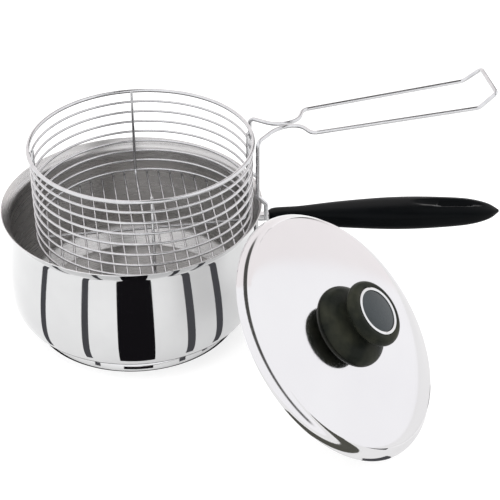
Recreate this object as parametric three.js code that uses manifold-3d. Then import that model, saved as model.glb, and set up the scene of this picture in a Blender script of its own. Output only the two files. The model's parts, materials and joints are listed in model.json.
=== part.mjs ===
// A stainless steel chip pan: a deep saucepan with a black phenolic handle, a round wire frying
// basket hooked over its lip to drain, and a lid with a phenolic knob that leans beside it.
//
// Millimetres, +Z up. The origin is the centre of the pan's underside, and +X runs out along the
// pan's handle. Pieces that touch on the real object keep GAP between them.

import * as THREE from 'three';
import { mergeVertices } from 'three/addons/utils/BufferGeometryUtils.js';
import Module from 'manifold-3d';

const wasm = await Module();
wasm.setup();

// ---------------------------------------------------------------- driving dimensions

const GAP = 0.3;
const UP = new THREE.Vector3(0, 0, 1);

// Sides of a turned shape, of a hoop and of a wire's section.
const ROUND = { large: 40, small: 24, screw: 16, hoop: 36, wire: 6 };

// Longer than anything that a cutting rod has to pass through.
const CUT_LENGTH = 20;

const PAN = {
  height: 107,
  wall: 0.9,
  lipRadius: 105,
  lipDrop: 0.6,
  neckRadius: 99.7,
  bellyRadius: 103,
  kneeRadius: 96,
  footRadius: 85.5,
  neckHeight: 98,
  bellyHeight: 43,
  kneeHeight: 15.6,
  floorHeight: 7.4,
};

// The saucer's side leans in toward its lip.
const BASE = {
  radius: 86.2, lipRadius: 85, lipTop: 7.1, sheet: 0.9, fillet: 1.6, coreRadius: 83.8,
};

const BRACKET = {
  plateRadius: 100.7,
  plateThickness: 1.5,
  plateAngle: THREE.MathUtils.degToRad(18),
  plateBottom: 80.5,
  plateTop: 96,
  barWidth: 8,
  barHeight: 4.4,
  barStart: 101.3,
  barEnd: 141,
};

const HANDLE = {
  rootHeight: 88.7,
  tipHeight: 86.4,
  // distance from the pan's axis, width and thickness of the oval grip
  stations: [
    [110.5, 10.5, 7.5],
    [114, 14, 10.5],
    [136, 16.5, 12.5],
    [170, 24.5, 17],
    [215, 30.5, 20.5],
    [250, 29.5, 19.2],
    [277, 24.5, 15.8],
    [292, 15.5, 9.5],
    [300.5, 2.5, 1.8],
  ],
  ovalPower: 3,
  sides: 20,
  socketStart: 100,
  undersideDrop: 6,
  slotStart: 249,
  slotEnd: 279,
  slotWidth: 7.5,
  dishStart: 229,
  dishEnd: 287,
  dishWidth: 11,
  dishDepth: 2.6,
  dishRise: 9.6,
};

const HANDLE_SCREW = {
  x: 128, radius: 2, headRadius: 3.7, headHeight: 2, length: 5, recess: 3, holeDepth: 5,
};

const BASKET = {
  centre: new THREE.Vector3(9.5, 1, 0),
  yaw: THREE.MathUtils.degToRad(5.5),
  rimHeight: 160,
  rimRadius: 88.4,
  ringRadius: 87.4,
  ringPitch: 9.45,
  sideRings: 7,
  frameRadius: 84.9,
  frameTop: 162.2,
  frameBend: 6,
  floorPitch: 9.8,
  floorWiresEachSide: 8,
  floorOvershoot: 2.6,
};

const WIRE = { rim: 1.6, ring: 1.0, frame: 1.2, floor: 0.9, grip: 1.7 };

const GRIP = {
  legRadius: 92,
  hookRadius: 98.8,
  legAngle: THREE.MathUtils.degToRad(12.5),
  hookTip: 92,
  lipSlope: 3.65,
  lipClearance: 0.25,
  rise: 0.1,
  height: 163.7,
  pinchReach: 116,
  pinchSide: 105,
  pinchHalfWidth: 5.2,
  gripStart: 133,
  gripStartHalfWidth: 19.5,
  gripEnd: 266,
  gripEndHalfWidth: 23.2,
  restReach: 280,
  restHalfWidth: 21,
  restRise: 9.5,
  hookBend: 2.5,
  legBend: 5,
  pinchBend: 20,
  startBend: 7,
  endBend: 8,
  restBend: 3.5,
};

const LID = {
  centre: new THREE.Vector2(151, -139.5),
  azimuth: THREE.MathUtils.degToRad(-25.1),
  elevation: THREE.MathUtils.degToRad(44.2),
  floorGap: 0.1,
  radius: 99.2,
  wall: 0.8,
  shoulderRadius: 93,
  shoulderHeight: 9.4,
  crownHeight: 15.5,
  flatRadius: 50,
  holeRadius: 3,
};

const KNOB = {
  bellRadius: 32,
  bellEdge: 0.8,
  bellHeight: 10.8,
  waistRadius: 13,
  waistHeight: 13,
  headRadius: 25.5,
  headHeight: 22,
  top: 28,
  ringOuter: 18.8,
  ringInner: 16.5,
  ringProud: 0.8,
  capRise: 0.9,
  inlayDepth: 2.4,
  boreRadius: 2.6,
  boreDepth: 15,
};

const LID_SCREW = {
  radius: 2.2, headRadius: 4.4, headHeight: 2.6, washerRadius: 8, washerThickness: 1.1,
};

// ---------------------------------------------------------------- materials

const metal = (color, roughness) =>
  new THREE.MeshStandardMaterial({ color, roughness, metalness: 1 });
const plastic = (color, roughness) =>
  new THREE.MeshStandardMaterial({ color, roughness, metalness: 0 });

const POLISHED_STEEL = metal(0xd9dadb, 0.08);
const CHROMED_WIRE = metal(0xd4d6d8, 0.16);
const ALUMINIUM = metal(0xb9bbbd, 0.35);
const ZINC = metal(0xa9abad, 0.4);
const PHENOLIC = plastic(0x101112, 0.3);
const KNOB_INLAY = plastic(0x1c2430, 0.25);

// ---------------------------------------------------------------- shape helpers

// Merges shared vertices and turns every face outward.
function closed(geometry) {
  const bare = geometry.clone();
  bare.deleteAttribute('normal');
  bare.deleteAttribute('uv');
  const merged = mergeVertices(bare, 1e-5);
  const position = merged.attributes.position;
  const index = merged.index.array;
  const corner = [new THREE.Vector3(), new THREE.Vector3(), new THREE.Vector3()];
  const kept = [];
  let volume = 0;
  for (let i = 0; i < index.length; i += 3) {
    const [a, b, c] = [index[i], index[i + 1], index[i + 2]];
    if (a === b || b === c || c === a) continue;
    kept.push(a, b, c);
    corner.forEach((point, k) => point.fromBufferAttribute(position, index[i + k]));
    volume += corner[0].dot(corner[1].clone().cross(corner[2]));
  }
  if (volume < 0) {
    for (let i = 0; i < kept.length; i += 3) {
      [kept[i + 1], kept[i + 2]] = [kept[i + 2], kept[i + 1]];
    }
  }
  merged.setIndex(kept);
  merged.computeVertexNormals();
  return merged;
}

function toManifold(geometry) {
  const solid = closed(geometry);
  return new wasm.Manifold(new wasm.Mesh({
    numProp: 3,
    vertProperties: new Float32Array(solid.attributes.position.array),
    triVerts: new Uint32Array(solid.index.array),
  }));
}

function fromManifold(manifold) {
  const mesh = manifold.getMesh();
  const geometry = new THREE.BufferGeometry();
  geometry.setAttribute('position', new THREE.BufferAttribute(mesh.vertProperties, 3));
  geometry.setIndex(new THREE.BufferAttribute(mesh.triVerts, 1));
  geometry.computeVertexNormals();
  return geometry;
}

function cut(body, ...tools) {
  let result = toManifold(body);
  for (const tool of tools) result = result.subtract(toManifold(tool));
  return fromManifold(result);
}

function join(...bodies) {
  return fromManifold(bodies.map(toManifold).reduce((whole, body) => whole.add(body)));
}

// Revolves [radius, height] points about Z.
function turned(profile, segments) {
  const points = profile.map(([radius, height]) => new THREE.Vector2(radius, height));
  return closed(new THREE.LatheGeometry(points, segments).rotateX(Math.PI / 2));
}

// Points along a cubic Bezier in a [radius, height] profile, without its first point.
function curved(start, pullStart, pullEnd, end, steps) {
  const curve = new THREE.CubicBezierCurve(
    new THREE.Vector2(...start), new THREE.Vector2(...pullStart),
    new THREE.Vector2(...pullEnd), new THREE.Vector2(...end),
  );
  return curve.getPoints(steps).slice(1).map((point) => [point.x, point.y]);
}

// A profile that starts on the axis, moved to its left by the sheet's thickness (or to its right
// by a negative one), and run from its far end back to its start.
function innerSkin(outer, thickness) {
  const inner = outer.map(([radius, height], i) => {
    const before = outer[Math.max(i - 1, 0)];
    const after = outer[Math.min(i + 1, outer.length - 1)];
    const along = new THREE.Vector2(after[0] - before[0], after[1] - before[1]).normalize();
    return [Math.max(radius - along.y * thickness, 0), height + along.x * thickness];
  });
  inner[0][0] = 0;
  return inner.reverse();
}

function rod(radius, length, sides = 16) {
  return new THREE.CylinderGeometry(radius, radius, length, sides).rotateX(Math.PI / 2);
}

// A route through chosen stations, which the sweep meets exactly.
class Route extends THREE.Curve {
  constructor(stations) {
    super();
    this.stations = stations;
  }

  getPoint(t) {
    const place = t * (this.stations.length - 1);
    const i = Math.min(Math.round(place), this.stations.length - 1);
    return this.stations[i].clone();
  }

  getPointAt(t) {
    return this.getPoint(t);
  }

  getTangentAt(t) {
    const last = this.stations.length - 1;
    const i = Math.round(t * last);
    const into = this.stations[i].clone().sub(this.stations[Math.max(i - 1, 0)]).normalize();
    const out = this.stations[Math.min(i + 1, last)].clone().sub(this.stations[i]).normalize();
    return into.add(out).normalize();
  }
}

// Rounds each inner corner of a polyline with a bend of the given radius.
function bent(corners, radii) {
  const stations = [corners[0].clone()];
  for (let i = 1; i < corners.length - 1; i += 1) {
    const into = corners[i].clone().sub(corners[i - 1]);
    const out = corners[i + 1].clone().sub(corners[i]);
    const room = 0.48 * Math.min(into.length(), out.length());
    into.normalize();
    out.normalize();
    const turn = into.angleTo(out);
    const reach = Math.min(radii[i] * Math.tan(turn / 2), room);
    const radius = reach / Math.tan(turn / 2);
    const start = corners[i].clone().addScaledVector(into, -reach);
    const side = out.clone().addScaledVector(into, -out.dot(into)).normalize();
    const centre = start.clone().addScaledVector(side, radius);
    const steps = Math.max(2, Math.ceil(turn / THREE.MathUtils.degToRad(24)));
    for (let k = 0; k <= steps; k += 1) {
      const angle = (turn * k) / steps;
      stations.push(centre.clone()
        .addScaledVector(side, -radius * Math.cos(angle))
        .addScaledVector(into, radius * Math.sin(angle)));
    }
  }
  stations.push(corners[corners.length - 1].clone());
  return stations;
}

// A round wire swept along its bent route.
function wire(corners, bendRadius, wireRadius, sides = ROUND.wire) {
  const radii = corners.map((_, i) => (Array.isArray(bendRadius) ? bendRadius[i] : bendRadius));
  const stations = bent(corners, radii);
  const section = new THREE.Shape();
  for (let k = 0; k < sides; k += 1) {
    const angle = (2 * Math.PI * k) / sides;
    const point = [wireRadius * Math.cos(angle), wireRadius * Math.sin(angle)];
    if (k === 0) section.moveTo(...point);
    else section.lineTo(...point);
  }
  section.closePath();
  return closed(new THREE.ExtrudeGeometry(section, {
    steps: stations.length - 1,
    extrudePath: new Route(stations),
  }));
}

// Ovals across X at [x, z, width, thickness], skinned and closed at both ends.
function oval(stations, power, sides) {
  const position = [];
  const index = [];
  const round = (value) => Math.sign(value) * Math.abs(value) ** (2 / power);
  for (const [x, z, width, thickness] of stations) {
    for (let k = 0; k < sides; k += 1) {
      const angle = (2 * Math.PI * k) / sides;
      const across = (width / 2) * round(Math.cos(angle));
      const up = (thickness / 2) * round(Math.sin(angle));
      position.push(x, across, z + up);
    }
  }
  const last = stations.length - 1;
  for (let i = 0; i < last; i += 1) {
    for (let k = 0; k < sides; k += 1) {
      const next = (k + 1) % sides;
      const [a, b] = [i * sides + k, i * sides + next];
      const [c, d] = [a + sides, b + sides];
      index.push(a, b, d, a, d, c);
    }
  }
  [0, last].forEach((end) => {
    const centre = position.length / 3;
    position.push(stations[end][0], 0, stations[end][1]);
    for (let k = 0; k < sides; k += 1) {
      const [a, b] = [end * sides + k, end * sides + ((k + 1) % sides)];
      if (end === 0) index.push(centre, b, a);
      else index.push(centre, a, b);
    }
  });
  const geometry = new THREE.BufferGeometry();
  geometry.setAttribute('position', new THREE.Float32BufferAttribute(position, 3));
  geometry.setIndex(index);
  return closed(geometry);
}

// A flat outline with round ends along X, pushed up Z from z = 0.
function roundEnded(start, end, width, height) {
  const shape = new THREE.Shape();
  const radius = width / 2;
  shape.moveTo(start + radius, -radius);
  shape.lineTo(end - radius, -radius);
  shape.absarc(end - radius, 0, radius, -Math.PI / 2, Math.PI / 2, false);
  shape.lineTo(start + radius, radius);
  shape.absarc(start + radius, 0, radius, Math.PI / 2, 1.5 * Math.PI, false);
  return new THREE.ExtrudeGeometry(shape, { depth: height, bevelEnabled: false, curveSegments: 8 });
}

const fryer = new THREE.Group();

function add(parent, name, geometry, material) {
  const mesh = new THREE.Mesh(geometry, material);
  mesh.name = name;
  parent.add(mesh);
  return mesh;
}

// ---------------------------------------------------------------- pan

function panBody() {
  const { height, lipRadius, neckRadius, bellyRadius, footRadius, floorHeight } = PAN;
  const knee = [PAN.kneeRadius, PAN.kneeHeight];
  const belly = [bellyRadius, PAN.bellyHeight];
  const neck = [neckRadius, PAN.neckHeight];
  const lip = [lipRadius, height - PAN.lipDrop];
  const outer = [
    [0, floorHeight],
    [footRadius, floorHeight],
    knee,
    ...curved(knee, [knee[0] + 4.5, knee[1] + 3.7], [bellyRadius, 27.5], belly, 6),
    ...curved(belly, [bellyRadius, 62], [neckRadius, 78], neck, 4),
    ...curved(neck, [neckRadius, 103], [lipRadius - 2, height - 4], lip, 4),
  ];
  return turned([...outer, ...innerSkin(outer, PAN.wall)], ROUND.large);
}

// A pressed steel saucer that wraps the base's aluminium disc.
function baseCap() {
  const { radius, lipRadius, lipTop, sheet, fillet } = BASE;
  const pull = 0.5;
  return turned([
    [0, 0],
    [radius - fillet, 0],
    ...curved([radius - fillet, 0], [radius - pull, 0], [radius, pull], [radius, fillet], 3),
    [lipRadius, lipTop],
    [lipRadius - sheet, lipTop],
    [lipRadius - sheet, sheet],
    [0, sheet],
  ], ROUND.large);
}

function baseCore() {
  const bottom = BASE.sheet + GAP;
  const top = PAN.floorHeight - GAP;
  const { coreRadius } = BASE;
  return turned([[0, bottom], [coreRadius, bottom], [coreRadius, top], [0, top]], ROUND.large);
}

// A saddle plate welded to the pan's side, with a bar that the handle slides over.
function handleBracket() {
  const { plateRadius, plateThickness, plateAngle, plateBottom, plateTop } = BRACKET;
  const { barWidth, barHeight, barStart, barEnd } = BRACKET;
  const outerRadius = plateRadius + plateThickness;
  const plate = new THREE.Shape();
  plate.absarc(0, 0, outerRadius, -plateAngle / 2, plateAngle / 2, false);
  plate.absarc(0, 0, plateRadius, plateAngle / 2, -plateAngle / 2, true);
  const saddle = new THREE.ExtrudeGeometry(plate, {
    depth: plateTop - plateBottom, bevelEnabled: false, curveSegments: 8,
  }).translate(0, 0, plateBottom);
  const bar = new THREE.BoxGeometry(barEnd - barStart, barWidth, barHeight)
    .translate((barStart + barEnd) / 2, 0, HANDLE.rootHeight);
  const screwHole = rod(HANDLE_SCREW.radius + GAP, CUT_LENGTH)
    .translate(HANDLE_SCREW.x, 0, HANDLE.rootHeight);
  return cut(join(saddle, bar), screwHole);
}

function handleStations() {
  const { stations, rootHeight, tipHeight } = HANDLE;
  const spine = new THREE.CatmullRomCurve3(
    stations.map(([x, width, thickness]) => new THREE.Vector3(x, width, thickness)),
    false, 'centripetal',
  );
  const first = stations[0][0];
  const last = stations[stations.length - 1][0];
  const middle = (x) => THREE.MathUtils.lerp(rootHeight, tipHeight, (x - first) / (last - first));
  return spine.getPoints(2 * (stations.length - 1))
    .map((point) => [point.x, middle(point.x), point.y, point.z]);
}

const HANDLE_UNDERSIDE = HANDLE.rootHeight - HANDLE.undersideDrop;

function handle() {
  const { rootHeight, tipHeight, slotStart, slotEnd, slotWidth, socketStart } = HANDLE;
  const { dishStart, dishEnd, dishWidth, dishDepth, dishRise } = HANDLE;
  const grip = oval(handleStations(), HANDLE.ovalPower, HANDLE.sides);
  const slot = roundEnded(slotStart, slotEnd, slotWidth, 2 * CUT_LENGTH)
    .translate(0, 0, tipHeight - CUT_LENGTH);
  const dish = new THREE.SphereGeometry(1, 20, 10)
    .scale((dishEnd - dishStart) / 2, dishWidth / 2, dishDepth)
    .translate((dishStart + dishEnd) / 2, 0, tipHeight + dishRise);
  const socketLength = BRACKET.barEnd + GAP - socketStart;
  const socket = new THREE.BoxGeometry(
    socketLength, BRACKET.barWidth + 2 * GAP, BRACKET.barHeight + 2 * GAP,
  ).translate(socketStart + socketLength / 2, 0, rootHeight);
  const { x, radius, headRadius, recess, holeDepth } = HANDLE_SCREW;
  const below = HANDLE_UNDERSIDE - CUT_LENGTH / 2;
  const screwHole = rod(radius + GAP, CUT_LENGTH).translate(x, 0, below + holeDepth);
  const headRecess = rod(headRadius + GAP, CUT_LENGTH).translate(x, 0, below + recess);
  return cut(grip, slot, dish, socket, screwHole, headRecess);
}

// A pan-head screw that comes up through the handle into the bracket's bar.
function handleScrew() {
  const { radius, headRadius, headHeight, length, recess } = HANDLE_SCREW;
  const seat = recess - GAP;
  return turned([
    [0, seat - headHeight],
    [headRadius * 0.7, seat - headHeight],
    [headRadius, seat - headHeight * 0.6],
    [headRadius, seat],
    [radius, seat],
    [radius, seat + length],
    [0, seat + length],
  ], ROUND.screw);
}

function addPan() {
  add(fryer, 'pan_body', panBody(), POLISHED_STEEL);
  add(fryer, 'base_core', baseCore(), ALUMINIUM);
  add(fryer, 'base_cap', baseCap(), POLISHED_STEEL);
  add(fryer, 'handle_bracket', handleBracket(), POLISHED_STEEL);
  add(fryer, 'pan_handle', handle(), PHENOLIC);
  add(fryer, 'handle_screw', handleScrew(), ZINC)
    .position.set(HANDLE_SCREW.x, 0, HANDLE_UNDERSIDE);
}

// ---------------------------------------------------------------- basket

const FLOOR_RING_HEIGHT = BASKET.rimHeight - (BASKET.sideRings + 1) * BASKET.ringPitch;
const FLOOR_HEIGHT = FLOOR_RING_HEIGHT - WIRE.ring - WIRE.floor - GAP;

function hoop(radius, height, wireRadius) {
  const torus = new THREE.TorusGeometry(radius, wireRadius, ROUND.wire, ROUND.hoop);
  return closed(torus.translate(0, 0, height));
}

// A U-shaped wire: down one side of the basket, under its floor and up the other side.
function frameWire(bottom, turn) {
  const { frameRadius, frameTop, frameBend } = BASKET;
  const corners = [
    [-frameRadius, frameTop], [-frameRadius, bottom], [frameRadius, bottom], [frameRadius, frameTop],
  ].map(([across, height]) => new THREE.Vector3(across, 0, height));
  return wire(corners, frameBend, WIRE.frame).rotateZ(turn);
}

function floorWire(offset) {
  const half = Math.sqrt(BASKET.ringRadius ** 2 - offset ** 2) + BASKET.floorOvershoot;
  return closed(new THREE.CylinderGeometry(WIRE.floor, WIRE.floor, 2 * half, ROUND.wire)
    .translate(offset, 0, FLOOR_HEIGHT));
}

// One wire: up from a hook tip, over the lip, up the basket's side, out along the grip and back.
function gripWire() {
  const { legRadius, hookRadius, legAngle, hookTip, rise, height } = GRIP;
  // The wire crosses the lip on a 45 degree slope, where its radius and height add up to this.
  const clearance = (WIRE.grip + GAP + GRIP.lipClearance) * Math.SQRT2;
  const kink = legRadius + GRIP.lipSlope + PAN.height + clearance;
  const climb = (reach) => height + rise * (reach - legRadius);
  const radial = (radius, z) => [radius * Math.cos(legAngle), radius * Math.sin(legAngle), z];
  const level = (reach, halfWidth, lift = 0) => [reach, halfWidth, climb(reach) + lift];
  const touch = WIRE.grip + GAP / 2;
  const side = [
    radial(hookRadius, hookTip),
    radial(hookRadius, kink - hookRadius),
    radial(legRadius, kink - legRadius),
    radial(legRadius, climb(legRadius)),
    level(GRIP.pinchSide, GRIP.pinchHalfWidth),
    level(GRIP.pinchReach, touch),
    level(2 * GRIP.pinchReach - GRIP.pinchSide, GRIP.pinchHalfWidth),
    level(GRIP.gripStart, GRIP.gripStartHalfWidth),
    level(GRIP.gripEnd, GRIP.gripEndHalfWidth),
    level(GRIP.restReach, GRIP.restHalfWidth, GRIP.restRise),
  ];
  const { hookBend, legBend, pinchBend, startBend, endBend, restBend } = GRIP;
  const bends = [
    0, hookBend, hookBend, legBend, pinchBend, pinchBend, pinchBend, startBend, endBend, restBend,
  ];
  const mirrored = side.map(([x, y, z]) => [x, -y, z]).reverse();
  const corners = [...side, ...mirrored].map((point) => new THREE.Vector3(...point));
  return wire(corners, [...bends, ...bends.slice().reverse()], WIRE.grip);
}

function addBasket() {
  const basket = new THREE.Group();
  basket.position.copy(BASKET.centre);
  basket.rotation.z = BASKET.yaw;
  fryer.add(basket);

  const { rimHeight, rimRadius, ringRadius, ringPitch, sideRings } = BASKET;
  add(basket, 'basket_rim', hoop(rimRadius, rimHeight, WIRE.rim), CHROMED_WIRE);
  for (let i = 1; i <= sideRings; i += 1) {
    const ring = hoop(ringRadius, rimHeight - i * ringPitch, WIRE.ring);
    add(basket, `basket_side_ring_${i}`, ring, CHROMED_WIRE);
  }
  add(basket, 'basket_floor_ring', hoop(ringRadius, FLOOR_RING_HEIGHT, WIRE.ring), CHROMED_WIRE);

  const acrossBottom = FLOOR_HEIGHT - WIRE.floor - WIRE.frame - GAP;
  const alongBottom = acrossBottom + 2 * WIRE.frame + GAP;
  add(basket, 'basket_frame_wire_1', frameWire(acrossBottom, 0), CHROMED_WIRE);
  add(basket, 'basket_frame_wire_2', frameWire(alongBottom, Math.PI / 2), CHROMED_WIRE);

  let count = 0;
  for (let i = -BASKET.floorWiresEachSide; i <= BASKET.floorWiresEachSide; i += 1) {
    if (i === 0) continue;
    count += 1;
    const name = `basket_floor_wire_${String(count).padStart(2, '0')}`;
    add(basket, name, floorWire(i * BASKET.floorPitch), CHROMED_WIRE);
  }
  add(basket, 'basket_handle', gripWire(), CHROMED_WIRE);
}

// ---------------------------------------------------------------- lid

function lidShell() {
  const { radius, shoulderRadius, shoulderHeight, crownHeight, flatRadius, holeRadius } = LID;
  const crown = [0, crownHeight];
  const shoulder = [shoulderRadius, shoulderHeight];
  const edge = [radius, 0];
  const beforeShoulder = [shoulderRadius - 6, shoulderHeight + 2.5];
  const afterShoulder = [shoulderRadius + 1, shoulderHeight - 3.5];
  const outer = [
    crown,
    ...curved(crown, [flatRadius, crownHeight], beforeShoulder, shoulder, 9),
    ...curved(shoulder, afterShoulder, [radius, 5], edge, 5),
  ];
  const shell = turned([...outer, ...innerSkin(outer, -LID.wall)], ROUND.large);
  return cut(shell, rod(holeRadius, CUT_LENGTH).translate(0, 0, crownHeight));
}

// The knob's own frame has the lid's crown at z = 0. A round bell rises to a waist, and the head
// spreads out over it.
function lidKnob() {
  const { bellRadius, bellEdge, bellHeight, waistRadius, waistHeight, headRadius, headHeight } = KNOB;
  const { top, ringOuter, inlayDepth, boreRadius, boreDepth } = KNOB;
  const rim = [bellRadius, GAP + bellEdge];
  const bellTop = [waistRadius + 2.5, bellHeight];
  const waist = [waistRadius, waistHeight];
  const head = [headRadius, headHeight];
  const crown = [ringOuter + 2.2, top];
  const insetRadius = ringOuter + GAP;
  return turned([
    [boreRadius, GAP],
    [bellRadius - bellEdge, GAP],
    rim,
    ...curved(rim, [bellRadius, 6.5], [bellRadius - 8, 9.5], bellTop, 6),
    ...curved(bellTop, [waistRadius + 1, bellHeight + 0.3], [waistRadius, bellHeight + 1], waist, 2),
    ...curved(waist, [waistRadius, 16.8], [headRadius - 2, 15.8], head, 5),
    ...curved(head, [headRadius + 0.6, headHeight + 3], [headRadius - 1.5, top], crown, 4),
    [insetRadius, top],
    [insetRadius, top - inlayDepth],
    [0, top - inlayDepth],
    [0, boreDepth],
    [boreRadius, boreDepth],
    [boreRadius, GAP],
  ], ROUND.small);
}

function knobRing() {
  const { ringOuter, ringInner, ringProud, inlayDepth, top } = KNOB;
  const bottom = top - inlayDepth + GAP;
  const side = top + ringProud / 2;
  return turned([
    [ringInner, bottom], [ringOuter, bottom], [ringOuter, side],
    [(ringOuter + ringInner) / 2, top + ringProud], [ringInner, side], [ringInner, bottom],
  ], ROUND.small);
}

function knobCap() {
  const { ringInner, inlayDepth, top, capRise } = KNOB;
  const bottom = top - inlayDepth + GAP;
  const radius = ringInner - GAP;
  const edge = [radius, top - 0.2];
  const crown = [0, top + capRise];
  return turned([
    [0, bottom], [radius, bottom], edge,
    ...curved(edge, [radius * 0.7, top + capRise * 0.7], [radius * 0.3, crown[1]], crown, 4),
  ], ROUND.small);
}

function lidWasher() {
  const top = -LID.wall - GAP;
  const bottom = top - LID_SCREW.washerThickness;
  const bore = LID_SCREW.radius + GAP;
  return turned([
    [bore, bottom], [LID_SCREW.washerRadius, bottom], [LID_SCREW.washerRadius, top],
    [bore, top], [bore, bottom],
  ], ROUND.small);
}

function lidScrew() {
  const { radius, headRadius, headHeight, washerThickness } = LID_SCREW;
  const seat = -LID.wall - 2 * GAP - washerThickness;
  return turned([
    [0, seat - headHeight],
    [headRadius * 0.65, seat - headHeight],
    [headRadius, seat - headHeight * 0.45],
    [headRadius, seat],
    [radius, seat],
    [radius, KNOB.boreDepth - GAP],
    [0, KNOB.boreDepth - GAP],
  ], ROUND.screw);
}

function addLid() {
  const { centre, azimuth, elevation, floorGap, radius, crownHeight } = LID;
  const outward = new THREE.Vector3(
    Math.cos(elevation) * Math.cos(azimuth),
    Math.cos(elevation) * Math.sin(azimuth),
    Math.sin(elevation),
  );
  const lid = new THREE.Group();
  lid.position.set(centre.x, centre.y, radius * Math.cos(elevation) + floorGap);
  lid.quaternion.setFromUnitVectors(UP, outward);
  fryer.add(lid);
  add(lid, 'lid_shell', lidShell(), POLISHED_STEEL);

  const crown = new THREE.Group();
  crown.position.z = crownHeight;
  lid.add(crown);
  add(crown, 'lid_knob', lidKnob(), PHENOLIC);
  add(crown, 'knob_ring', knobRing(), POLISHED_STEEL);
  add(crown, 'knob_cap', knobCap(), KNOB_INLAY);
  add(crown, 'lid_washer', lidWasher(), ZINC);
  add(crown, 'lid_screw', lidScrew(), ZINC);
}

addPan();
addBasket();
addLid();

export default fryer;
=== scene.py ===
import json
import math

import bmesh
import bpy
from mathutils import Matrix, Vector

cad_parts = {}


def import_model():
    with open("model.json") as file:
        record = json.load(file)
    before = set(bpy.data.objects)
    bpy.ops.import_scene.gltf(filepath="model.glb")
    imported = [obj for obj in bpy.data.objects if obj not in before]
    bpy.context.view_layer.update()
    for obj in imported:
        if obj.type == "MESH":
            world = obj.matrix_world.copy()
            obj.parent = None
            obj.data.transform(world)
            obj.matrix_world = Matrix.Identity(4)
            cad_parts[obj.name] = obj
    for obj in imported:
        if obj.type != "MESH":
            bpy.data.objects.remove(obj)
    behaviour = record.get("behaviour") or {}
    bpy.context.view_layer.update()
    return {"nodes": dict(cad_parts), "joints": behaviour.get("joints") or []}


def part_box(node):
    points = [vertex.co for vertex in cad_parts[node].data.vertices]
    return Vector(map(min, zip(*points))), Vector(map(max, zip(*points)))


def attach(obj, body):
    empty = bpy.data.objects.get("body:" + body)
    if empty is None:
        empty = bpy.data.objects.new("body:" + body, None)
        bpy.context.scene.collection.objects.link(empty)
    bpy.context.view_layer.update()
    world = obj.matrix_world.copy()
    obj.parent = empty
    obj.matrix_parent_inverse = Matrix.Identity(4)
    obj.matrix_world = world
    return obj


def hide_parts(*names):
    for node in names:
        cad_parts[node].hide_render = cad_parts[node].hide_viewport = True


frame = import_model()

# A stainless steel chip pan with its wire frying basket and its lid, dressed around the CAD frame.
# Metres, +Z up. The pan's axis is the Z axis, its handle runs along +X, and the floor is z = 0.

# ---------------------------------------------------------------- sizes

CAMERA = {
    "target": Vector((0.0958, 0.0084, 0.050)),
    "azimuth": math.radians(-3.5),
    "elevation": math.radians(33.95),
    "distance": 1.2,
    "lens": 103.33,
}

# Each row of "curves" continues a (radius, height) profile: (pull at its start, pull at its end,
# end, steps).
PAN = {
    "foot": 0.0855,
    "foot_fillet": 0.0015,
    "knee": (0.096, 0.0156),
    "curves": [
        ((0.1005, 0.0193), (0.1030, 0.0275), (0.1030, 0.043), 36),
        ((0.1030, 0.062), (0.0997, 0.078), (0.0997, 0.098), 24),
        ((0.0997, 0.0990), (0.10254, 0.1031699), (0.10494, 0.10632), 20),
    ],
    "polished_rim_rings": 3,
    "wall": 0.0009,
}

BASE = {
    "radius": 0.0862,
    "lip_radius": 0.0840,
    "lip_top": 0.0066,
    "sheet": 0.0007,
    "groove": (0.062, 0.0635, 0.0665, 0.068),
    "groove_depth": 0.0006,
    "foot_fillet": 0.0008,
    "inner_fillet": 0.0004,
    "lip_rounding": 0.45,
}

BRACKET = {
    "radius": 0.1007,
    "thickness": 0.0015,
    "half_angle": math.radians(9),
    "bar_sink": 0.0006,
    "bar_half": (0.004, 0.0022),
    "bevel": 0.0004,
}

HANDLE = {
    "stations": [
        (0.1105, 0.0105, 0.0075),
        (0.1140, 0.0140, 0.0105),
        (0.1360, 0.0165, 0.0125),
        (0.1700, 0.0245, 0.0170),
        (0.2150, 0.0305, 0.0205),
        (0.2500, 0.0295, 0.0192),
        (0.2770, 0.0245, 0.0158),
        (0.2920, 0.0155, 0.0095),
        (0.3005, 0.0025, 0.0018),
    ],
    "root_height": 0.0887,
    "tip_height": 0.0864,
    "steps_between_stations": 14,
    "sides": 72,
    "oval_power": 3.0,
    # (start, end, width) and (start, end, width, depth)
    "slot": (0.249, 0.279, 0.0075),
    "dish": (0.229, 0.287, 0.011, 0.0026),
    "dish_power": 0.7,
    "socket_start": 0.100,
    "screw_hole_radius": 0.0023,
}

# (head radius, head height, shank radius)
HANDLE_SCREW = (0.0037, 0.002, 0.002)
LID_SCREW = (0.0044, 0.0026, 0.0022)
LID_SCREW_END = 0.0147
SCREW_SLOT_HALF = 0.0004

WASHER = {"bore": 0.0025, "radius": 0.008, "thickness": 0.0011, "edge": 0.0003}

BASKET = {
    "yaw": math.radians(5.5),
    "rim_radius": 0.0884,
    "ring_radius": 0.0874,
    "rings": 7,
    "frame_radius": 0.0849,
    "frame_top": 0.1622,
    "frame_bend": 0.006,
    "floor_pitch": 0.0098,
    "floor_wires_each_side": 8,
    "floor_overshoot": 0.0026,
}

WIRE = {"rim": 0.0016, "ring": 0.0010, "frame": 0.0012, "floor": 0.0009, "grip": 0.0017}
THICK_WIRE_SIDES, THIN_WIRE_SIDES = 20, 14
WELD_BEAD = {"radius": 0.0010, "ring_height": 0.0013, "floor_height": 0.0012}

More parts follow.
